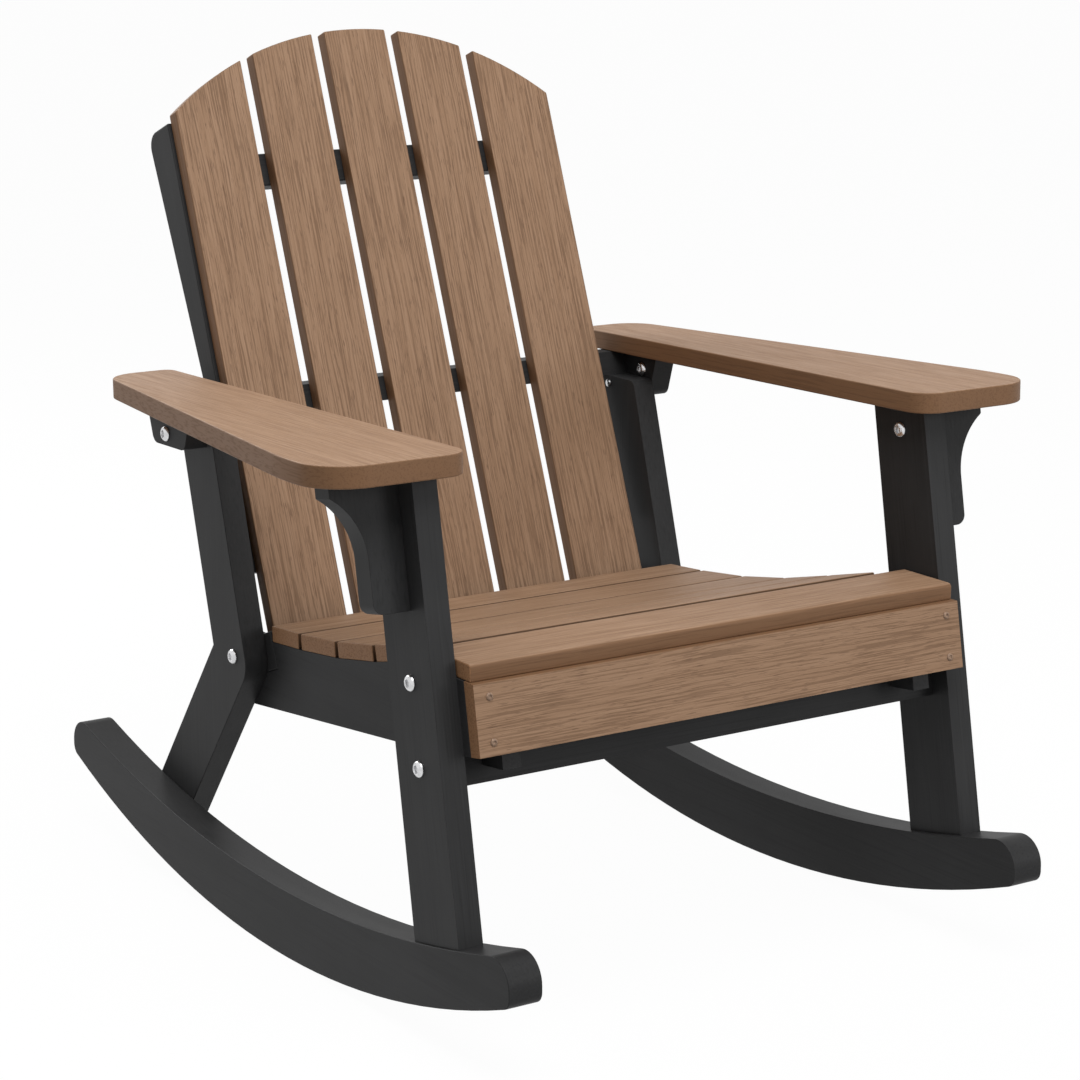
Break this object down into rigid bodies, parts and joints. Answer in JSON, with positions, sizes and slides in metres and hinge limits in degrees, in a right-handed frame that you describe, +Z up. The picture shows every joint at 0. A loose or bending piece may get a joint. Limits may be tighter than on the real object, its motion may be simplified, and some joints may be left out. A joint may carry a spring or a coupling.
{
  "type": "rocking adirondack chair",
  "caption": "Low rocking armchair with slatted seat, fanned-top slatted back, broad arms on corbels and curved rockers.",
  "frame": {"origin": "on the floor at the rockers' lowest line's level, midway between the rocker tips and between the two sides", "axes": "+X across the chair, the sitter faces -Y, +Z up"},
  "size_m": [0.794, 0.872, 0.8512],
  "materials": {
    "dark_board": "satin charcoal plastic lumber",
    "brown_board": "embossed brown wood-grain plastic lumber",
    "steel": "plain stainless",
    "coated_screw": "brown coated screw heads"
  },
  "bodies": {
    "root": {"rocker_left": "dark_board", "rocker_right": "dark_board", "front_leg_left": "dark_board", "front_leg_right": "dark_board", "rear_leg_left": "dark_board", "rear_leg_right": "dark_board", "side_rail_left": "dark_board", "side_rail_right": "dark_board", "back_stile_left": "dark_board", "back_stile_right": "dark_board", "rear_arm_bracket_left": "dark_board", "rear_arm_bracket_right": "dark_board", "arm_corbel_left": "dark_board", "arm_corbel_right": "dark_board", "front_stretcher": "dark_board", "apron_block_left": "dark_board", "apron_block_right": "dark_board", "seat_rear_bar": "dark_board", "lower_back_rail": "dark_board", "upper_back_batten": "dark_board", "front_apron": "brown_board", "seat_front_slat": "brown_board", "seat_slat_1": "brown_board", "seat_slat_2": "brown_board", "seat_slat_3": "brown_board", "seat_slat_4": "brown_board", "seat_slat_5": "brown_board", "back_slat_1": "brown_board", "back_slat_2": "brown_board", "back_slat_3": "brown_board", "back_slat_4": "brown_board", "back_slat_5": "brown_board", "arm_left": "brown_board", "arm_right": "brown_board", "leg_stretcher_bolts": "steel", "corbel_bolts": "steel", "rear_leg_rail_bolts": "steel", "rocker_bolts": "steel", "bracket_bolts": "steel", "bracket_screws": "steel", "apron_screws": "coated_screw"}
  },
  "joints": []
}
